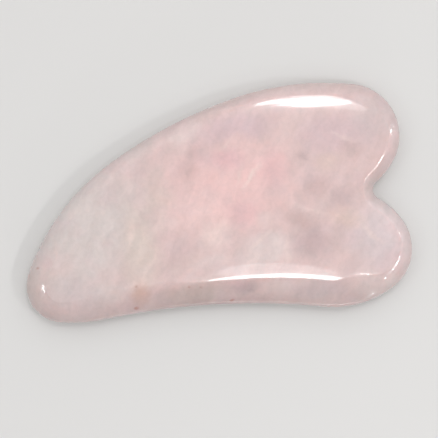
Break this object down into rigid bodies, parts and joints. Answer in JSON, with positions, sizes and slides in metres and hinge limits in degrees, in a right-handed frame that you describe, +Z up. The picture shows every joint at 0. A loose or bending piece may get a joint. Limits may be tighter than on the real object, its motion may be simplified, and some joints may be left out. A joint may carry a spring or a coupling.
{
  "type": "gua sha scraper",
  "caption": "Wing-shaped polished rose quartz massage plate with a rounded nose, two lobes, a notch between them and bevelled edges.",
  "frame": {"origin": "centre of the outline's box, on the lower ground face that the plate lies on", "axes": "+X along the length from the nose to the lobes, parallel to the line that touches the nose and the lower lobe under the hollow belly; +Y from the belly to the back; +Z up through the thickness"},
  "size_m": [0.084, 0.0488, 0.006],
  "materials": {
    "rose_quartz": "polished"
  },
  "bodies": {
    "root": {"scraper_stone": "rose_quartz"}
  },
  "joints": []
}
